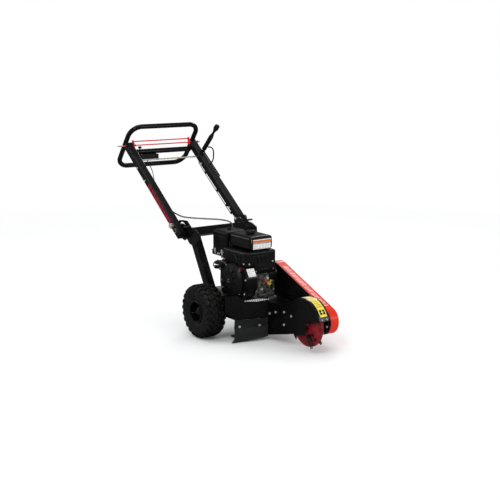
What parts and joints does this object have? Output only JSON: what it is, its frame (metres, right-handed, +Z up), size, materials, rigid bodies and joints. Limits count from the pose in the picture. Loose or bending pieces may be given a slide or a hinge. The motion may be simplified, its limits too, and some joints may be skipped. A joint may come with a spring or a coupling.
{
  "type": "walk-behind stump grinder",
  "caption": "Walk-behind stump grinder: engine on a wheeled deck drives a toothed cutting disc by belts under a long guard; the handle folds forward.",
  "frame": {"origin": "ground level under the middle of the machine's outer box", "axes": "+X forwards to the cutter, +Y the operator's left, +Z up"},
  "size_m": [1.8957, 0.702, 1.2379],
  "materials": {
    "powder_black": "gloss",
    "engine_black": "satin",
    "guard_orange": "gloss",
    "disc_red": "satin",
    "bail_red": "gloss",
    "zinc": "satin",
    "raw_steel": "satin",
    "carbide": "satin",
    "cast_alloy": "rough cast",
    "step_grey": "textured",
    "tyre_rubber": "matt",
    "soft_rubber": "satin",
    "belt_rubber": "matt",
    "black_plastic": "satin",
    "gloss_plastic": "gloss",
    "yellow_plastic": "gloss",
    "red_plastic": "gloss"
  },
  "bodies": {
    "chassis": {"base_frame": "powder_black", "rear_step_plate": "step_grey", "mast_frame": "powder_black", "hinge_brackets": "powder_black", "hinge_bolts": "zinc", "front_shield": "powder_black", "rubber_flap": "soft_rubber", "flap_strip": "raw_steel", "frame_bolts": "zinc", "axle": "raw_steel", "axle_nuts": "zinc", "wheel_bearings": "raw_steel", "bearing_housing": "powder_black", "cutter_bearings": "raw_steel", "cutter_guard": "powder_black", "belt_guard_back": "powder_black", "belt_guard_cover": "guard_orange", "drive_belts": "belt_rubber", "crankcase": "cast_alloy", "side_cover": "engine_black", "cylinder_head": "cast_alloy", "rocker_cover": "engine_black", "spark_plug_boot": "soft_rubber", "blower_housing": "engine_black", "recoil_cover": "black_plastic", "fuel_tank": "engine_black", "engine_shroud": "engine_black", "air_cleaner_base": "black_plastic", "air_cleaner_cover": "black_plastic", "carburettor": "cast_alloy", "muffler": "engine_black"},
    "wheel_right": {"tyre_right": "tyre_rubber", "rim_right": "powder_black"},
    "wheel_left": {"tyre_left": "tyre_rubber", "rim_left": "powder_black"},
    "cutter": {"cutter_disc": "disc_red", "cutter_shaft": "raw_steel", "tooth_holders": "raw_steel", "tooth_tips": "carbide", "cutter_bolts": "zinc", "driven_pulley": "powder_black"},
    "crank": {"crankshaft": "raw_steel", "flywheel_fan": "cast_alloy", "drive_pulley": "powder_black"},
    "handle": {"handle_uprights": "powder_black", "handle_bolts": "zinc", "hand_loop": "powder_black", "cross_bar": "powder_black", "brace_rod": "zinc", "control_box": "black_plastic"},
    "bail": {"operator_bail": "bail_red"},
    "throttle": {"throttle_lever": "gloss_plastic"},
    "stop": {"stop_button": "red_plastic"},
    "brake": {"brake_lever": "black_plastic"},
    "brake_link": {"brake_rod": "powder_black"},
    "starter_pull": {"recoil_grip": "black_plastic"},
    "choke": {"choke_lever": "zinc"},
    "fuel_valve": {"fuel_valve_lever": "zinc"},
    "tank_cap": {"fuel_cap": "gloss_plastic"},
    "oil_dipstick": {"dipstick": "yellow_plastic"}
  },
  "joints": [
    {"name": "wheel_right_spin", "type": "hinge", "parent": "chassis", "child": "wheel_right", "pos_m": [0.1796, -0.2845, 0.165], "axis": [0, 1, 0], "continuous": true},
    {"name": "wheel_left_spin", "type": "hinge", "parent": "chassis", "child": "wheel_left", "pos_m": [0.1796, 0.2845, 0.165], "axis": [0, 1, 0], "continuous": true},
    {"name": "cutter_spin", "type": "hinge", "parent": "chassis", "child": "cutter", "pos_m": [0.7996, 0.031, 0.168], "axis": [0, 1, 0], "continuous": true},
    {"name": "crank_spin", "type": "hinge", "parent": "chassis", "child": "crank", "pos_m": [0.3296, 0, 0.365], "axis": [0, 1, 0], "continuous": true},
    {"name": "handle_fold", "type": "hinge", "parent": "chassis", "child": "handle", "pos_m": [-0.161, 0, 0.6085], "axis": [0, 1, 0], "range_deg": [0, 100]},
    {"name": "bail_squeeze", "type": "hinge", "parent": "handle", "child": "bail", "pos_m": [-0.7704, 0, 1.095], "axis": [0, 1, 0], "range_deg": [0, 35]},
    {"name": "throttle", "type": "hinge", "parent": "handle", "child": "throttle", "pos_m": [-0.7424, -0.19, 1.012], "axis": [0, 1, 0], "range_deg": [0, 50]},
    {"name": "stop_press", "type": "slide", "parent": "handle", "child": "stop", "axis": [1, 0, 0], "range_m": [0, 0.005]},
    {"name": "brake_pull", "type": "hinge", "parent": "handle", "child": "brake", "pos_m": [-0.7454, 0.291, 1], "axis": [0, -1, 0], "range_deg": [0, 35]},
    {"name": "brake_rod_slide", "type": "slide", "parent": "handle", "child": "brake_link", "axis": [-0.7923, 0, 0.6101], "range_m": [0, 0.0245]},
    {"name": "starter_cord", "type": "slide", "parent": "chassis", "child": "starter_pull", "axis": [0, -0.8, 0.6], "range_m": [0, 0.35]},
    {"name": "choke", "type": "hinge", "parent": "chassis", "child": "choke", "pos_m": [0.1356, -0.1215, 0.44], "axis": [0, -1, 0], "range_deg": [0, 45]},
    {"name": "fuel_valve", "type": "hinge", "parent": "chassis", "child": "fuel_valve", "pos_m": [0.1486, -0.1215, 0.392], "axis": [0, -1, 0], "range_deg": [0, 90]},
    {"name": "cap_turn", "type": "hinge", "parent": "chassis", "child": "tank_cap", "pos_m": [0.3216, -0.036, 0.64], "axis": [0, 0, 1], "range_deg": [0, 90]},
    {"name": "dipstick_turn", "type": "hinge", "parent": "chassis", "child": "oil_dipstick", "pos_m": [0.41824, 0.031, 0.33352], "axis": [0.6, 0, 0.8], "range_deg": [0, 180]}
  ],
  "couplings": [
    {"joint": "crank_spin", "follows": "cutter_spin", "ratio": 1.35},
    {"joint": "brake_rod_slide", "follows": "brake_pull", "m_per_rad": 0.0394}
  ]
}
